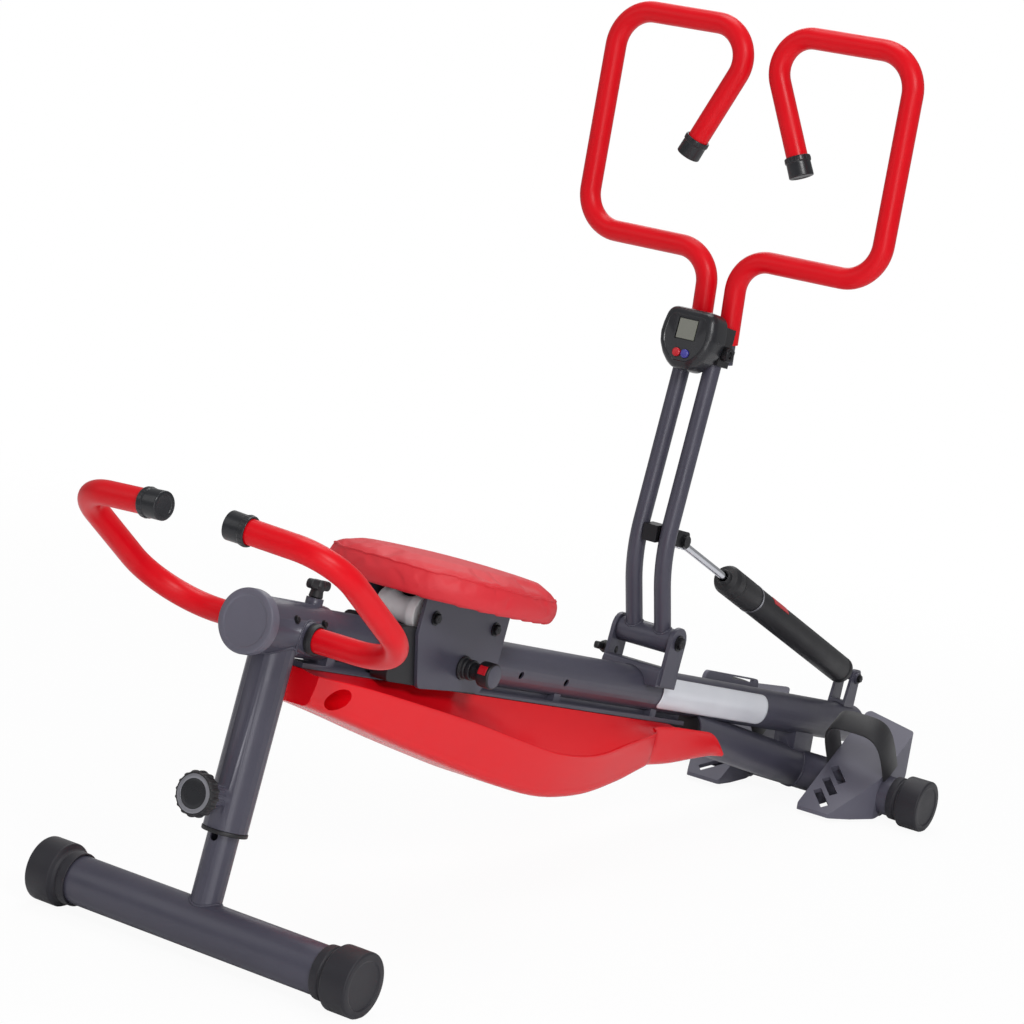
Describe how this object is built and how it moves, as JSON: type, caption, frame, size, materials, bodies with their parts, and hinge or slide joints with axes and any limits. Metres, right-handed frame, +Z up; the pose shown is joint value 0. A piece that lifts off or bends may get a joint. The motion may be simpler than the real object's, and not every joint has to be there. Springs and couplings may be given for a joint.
{
  "type": "hydraulic rowing machine",
  "caption": "Home rowing machine: sloping rail with a sliding seat, swinging mast with looped handlebars, inclined damper, foot pedals, telescopic rear leg and push-up handles.",
  "frame": {"origin": "on the floor, under the middle of the machine's length and width", "axes": "+X from the rear leg to the pedals along the machine, +Y to the left of a rower who faces the handlebars, +Z up"},
  "size_m": [1.49, 0.417, 0.9754],
  "materials": {
    "frame_paint": "satin anthracite powder coat",
    "black_plastic": "fine moulded grain",
    "black_rubber": "matt",
    "red_foam": "closed-cell foam sleeve over a steel tube",
    "red_shell": "glossy moulded shell",
    "red_leatherette": "smooth leatherette over foam",
    "white_nylon": "smooth nylon",
    "zinc_steel": "zinc plated",
    "chrome_rod": "polished hard chrome",
    "badge_aluminium": "bare satin plate",
    "lcd_window": "clear window over a blank display",
    "red_plastic": "smooth",
    "blue_plastic": "smooth"
  },
  "bodies": {
    "frame": {"outer_post": "frame_paint", "post_bushing": "black_plastic", "rear_head_sleeve": "frame_paint", "rail_end_cap": "black_plastic", "main_rail": "frame_paint", "hull_bar": "frame_paint", "badge_plate": "badge_aluminium", "carry_loop": "black_plastic", "hull_shell": "red_shell", "yoke_bracket": "frame_paint", "mast_pivot_bolt": "zinc_steel", "damper_bracket": "frame_paint", "front_strut": "frame_paint", "front_stabiliser_tube": "frame_paint", "front_end_cap_left": "black_rubber", "front_end_cap_right": "black_rubber", "pushup_handle_left": "red_foam", "pushup_handle_cap_left": "black_plastic", "pushup_handle_right": "red_foam", "pushup_handle_cap_right": "black_plastic"},
    "rear_leg": {"inner_post": "frame_paint", "rear_stabiliser_tube": "frame_paint", "rear_end_cap_left": "black_rubber", "rear_end_cap_right": "black_rubber"},
    "height_knob": {"height_knob": "black_plastic"},
    "rail_wing_screw": {"rail_wing_screw": "black_plastic"},
    "seat_carriage": {"carriage_frame": "frame_paint", "rear_axle_bolt": "zinc_steel", "front_axle_bolt": "zinc_steel", "guide_shoe_left": "black_plastic", "guide_shoe_right": "black_plastic", "pull_pin_housing": "black_plastic", "seat_board": "black_plastic", "seat_cushion": "red_leatherette"},
    "rear_roller": {"rear_roller": "white_nylon"},
    "front_roller": {"front_roller": "white_nylon"},
    "pull_pin": {"pull_pin_knob": "zinc_steel"},
    "yoke_wing_screw": {"yoke_wing_screw": "black_plastic"},
    "mast": {"mast_foot_tube": "frame_paint", "mast_rod_left": "frame_paint", "mast_rod_right": "frame_paint", "damper_clevis": "frame_paint", "mast_clamp": "black_plastic", "console_housing": "black_plastic", "console_lcd": "lcd_window", "handlebar_left": "red_foam", "handlebar_cap_left": "black_plastic", "handlebar_right": "red_foam", "handlebar_cap_right": "black_plastic"},
    "clamp_bolt": {"mast_clamp_bolt": "black_plastic"},
    "button_red": {"console_button_red": "red_plastic"},
    "button_blue": {"console_button_blue": "blue_plastic"},
    "damper_barrel": {"damper_barrel": "black_plastic", "damper_collar": "black_plastic"},
    "piston_rod": {"piston_rod": "chrome_rod"},
    "pedal_left": {"pedal_left": "black_rubber", "pedal_strap_left": "black_plastic"},
    "pedal_right": {"pedal_right": "black_rubber", "pedal_strap_right": "black_plastic"}
  },
  "joints": [
    {"name": "leg_height", "type": "slide", "parent": "frame", "child": "rear_leg", "axis": [-0.1879, 0, -0.9822], "range_m": [-0.02, 0.06]},
    {"name": "height_knob_pull", "type": "slide", "parent": "frame", "child": "height_knob", "axis": [-0.9822, 0, 0.1879], "range_m": [0, 0.008], "stiffness_N_per_m": 900, "springref_m": -0.006},
    {"name": "rail_wing_turn", "type": "hinge", "parent": "frame", "child": "rail_wing_screw", "pos_m": [-0.5221, 0, 0.35299], "axis": [0.1879, 0, 0.9822], "continuous": true},
    {"name": "seat_slide", "type": "slide", "parent": "frame", "child": "seat_carriage", "axis": [0.9822, 0, -0.1879], "range_m": [-0.08, 0.245]},
    {"name": "rear_roller_spin", "type": "hinge", "parent": "seat_carriage", "child": "rear_roller", "pos_m": [-0.36213, 0, 0.32698], "axis": [0, 1, 0], "range_deg": [-340, 1020]},
    {"name": "front_roller_spin", "type": "hinge", "parent": "seat_carriage", "child": "front_roller", "pos_m": [-0.24427, 0, 0.30443], "axis": [0, 1, 0], "range_deg": [-340, 1020]},
    {"name": "pull_pin_slide", "type": "slide", "parent": "seat_carriage", "child": "pull_pin", "axis": [0, -1, 0], "range_m": [0, 0.009], "stiffness_N_per_m": 900, "springref_m": -0.006},
    {"name": "yoke_wing_turn", "type": "hinge", "parent": "frame", "child": "yoke_wing_screw", "pos_m": [0.15482, 0.05, 0.22452], "axis": [0, 1, 0], "continuous": true},
    {"name": "mast_swing", "type": "hinge", "parent": "frame", "child": "mast", "pos_m": [0.1599, 0, 0.25104], "axis": [0, 1, 0], "range_deg": [-30, 20]},
    {"name": "clamp_bolt_turn", "type": "hinge", "parent": "mast", "child": "clamp_bolt", "pos_m": [0.16705, -0.036, 0.59269], "axis": [0, 1, 0], "continuous": true},
    {"name": "button_red_press", "type": "slide", "parent": "mast", "child": "button_red", "axis": [0.9836, 0, -0.1803], "range_m": [0, 0.0015], "stiffness_N_per_m": 600, "springref_m": -0.002},
    {"name": "button_blue_press", "type": "slide", "parent": "mast", "child": "button_blue", "axis": [0.9836, 0, -0.1803], "range_m": [0, 0.0015], "stiffness_N_per_m": 600, "springref_m": -0.002},
    {"name": "damper_tilt", "type": "hinge", "parent": "frame", "child": "damper_barrel", "pos_m": [0.71661, 0, 0.14352], "axis": [0, 1, 0], "range_deg": [-1.4, 1.1]},
    {"name": "rod_slide", "type": "slide", "parent": "damper_barrel", "child": "piston_rod", "axis": [0.9225, 0, -0.386], "range_m": [-0.062, 0.042]},
    {"name": "pedal_left_rock", "type": "hinge", "parent": "frame", "child": "pedal_left", "pos_m": [0.60463, 0.0955, 0.032], "axis": [0, 1, 0], "range_deg": [-2, 20]},
    {"name": "pedal_right_rock", "type": "hinge", "parent": "frame", "child": "pedal_right", "pos_m": [0.60463, -0.0955, 0.032], "axis": [0, 1, 0], "range_deg": [-2, 20]}
  ],
  "couplings": [
    {"joint": "rear_roller_spin", "follows": "seat_slide", "rad_per_m": 70.4},
    {"joint": "front_roller_spin", "follows": "seat_slide", "rad_per_m": 70.4},
    {"joint": "damper_tilt", "follows": "mast_swing", "ratio": 0.04},
    {"joint": "rod_slide", "follows": "mast_swing", "m_per_rad": 0.1115}
  ]
}
